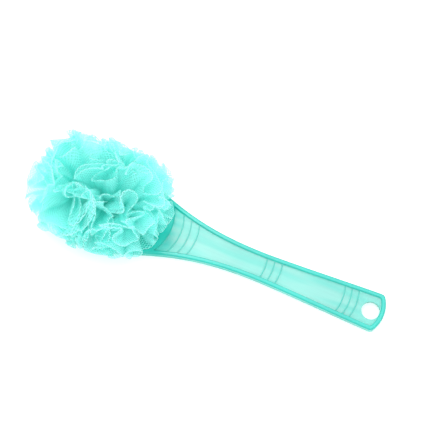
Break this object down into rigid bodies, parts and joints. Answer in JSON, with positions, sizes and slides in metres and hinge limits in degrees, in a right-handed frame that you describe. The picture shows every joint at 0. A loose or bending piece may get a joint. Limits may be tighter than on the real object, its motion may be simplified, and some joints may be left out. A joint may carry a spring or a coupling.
{
  "type": "back scrubber",
  "caption": "Long-handled bath back scrubber: clear moulded handle with hang hole, oval head plate and a tied puff of gathered netting.",
  "frame": {"origin": "centre of the whole object's footprint, on the plane that its back rests on", "axes": "+X along the handle from the puff to the tail, +Y to the left seen from the puff's side with the tail ahead, +Z out of the head plate through the puff"},
  "size_m": [0.366, 0.11, 0.063],
  "materials": {
    "clear_plastic": "translucent aqua polypropylene, smooth moulded",
    "netting": "soft aqua polyethylene bath netting",
    "tie_nylon": "pale twisted nylon cord"
  },
  "bodies": {
    "root": {"handle": "clear_plastic", "netting_inner_left": "netting", "netting_inner_right": "netting", "netting_middle_left": "netting", "netting_middle_right": "netting", "netting_tip_left": "netting", "netting_tip_right": "netting", "tie_inner": "tie_nylon", "tie_middle": "tie_nylon", "tie_tip": "tie_nylon"}
  },
  "joints": []
}
